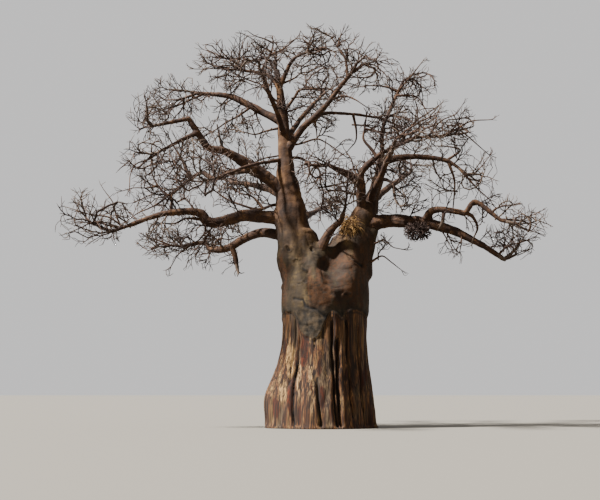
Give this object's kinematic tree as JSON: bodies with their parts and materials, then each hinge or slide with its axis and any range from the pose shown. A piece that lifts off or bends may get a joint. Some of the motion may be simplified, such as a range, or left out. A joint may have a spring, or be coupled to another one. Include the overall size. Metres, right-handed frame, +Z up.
{
  "type": "baobab tree",
  "caption": "Large leafless baobab tree: fluted trunk flaring to a flat cut at the ground, forking low into thick tapering boughs that end in spreading masses of bare twigs.",
  "frame": {"origin": "middle of the flat cut under the trunk, at ground level", "axes": "+Z up, +X to the right and +Y away from the viewer in the picture"},
  "size_m": [28.6382, 22.3968, 24.4412],
  "materials": {
    "trunk_bark": "fibrous ribbed bark, matte",
    "bough_bark": "smooth creased bark, matte",
    "twigs": "dry bare twigs, matte"
  },
  "bodies": {
    "root": {"trunk": "trunk_bark", "back_high": "bough_bark", "back_left": "bough_bark", "back_low": "bough_bark", "back_right": "bough_bark", "big_left": "bough_bark", "cross": "bough_bark", "elbow": "bough_bark", "elbow_low": "bough_bark", "front_left": "bough_bark", "front_mid": "bough_bark", "front_right": "bough_bark", "hanging": "bough_bark", "high_left": "bough_bark", "inner_left": "bough_bark", "inner_right": "bough_bark", "left_stem": "bough_bark", "low_left": "bough_bark", "low_spur": "bough_bark", "mid_left": "bough_bark", "notch": "bough_bark", "right_arch": "bough_bark", "right_arm": "bough_bark", "right_leader": "bough_bark", "right_low": "bough_bark", "right_mid": "bough_bark", "right_stem": "bough_bark", "right_upper": "bough_bark", "top_left": "bough_bark", "top_right": "bough_bark", "upper_left": "bough_bark", "twigs_back_high": "twigs", "twigs_back_left": "twigs", "twigs_back_low": "twigs", "twigs_back_right": "twigs", "twigs_big_left": "twigs", "twigs_cross": "twigs", "twigs_elbow": "twigs", "twigs_elbow_low": "twigs", "twigs_front_left": "twigs", "twigs_front_mid": "twigs", "twigs_front_right": "twigs", "twigs_hanging": "twigs", "twigs_high_left": "twigs", "twigs_inner_left": "twigs", "twigs_inner_right": "twigs", "twigs_leader": "twigs", "twigs_low_left": "twigs", "twigs_mid_left": "twigs", "twigs_notch": "twigs", "twigs_right_arch": "twigs", "twigs_right_arm": "twigs", "twigs_right_leader": "twigs", "twigs_right_low": "twigs", "twigs_right_mid": "twigs", "twigs_right_upper": "twigs", "twigs_tangle": "twigs", "twigs_top_left": "twigs", "twigs_top_right": "twigs"}
  },
  "joints": []
}
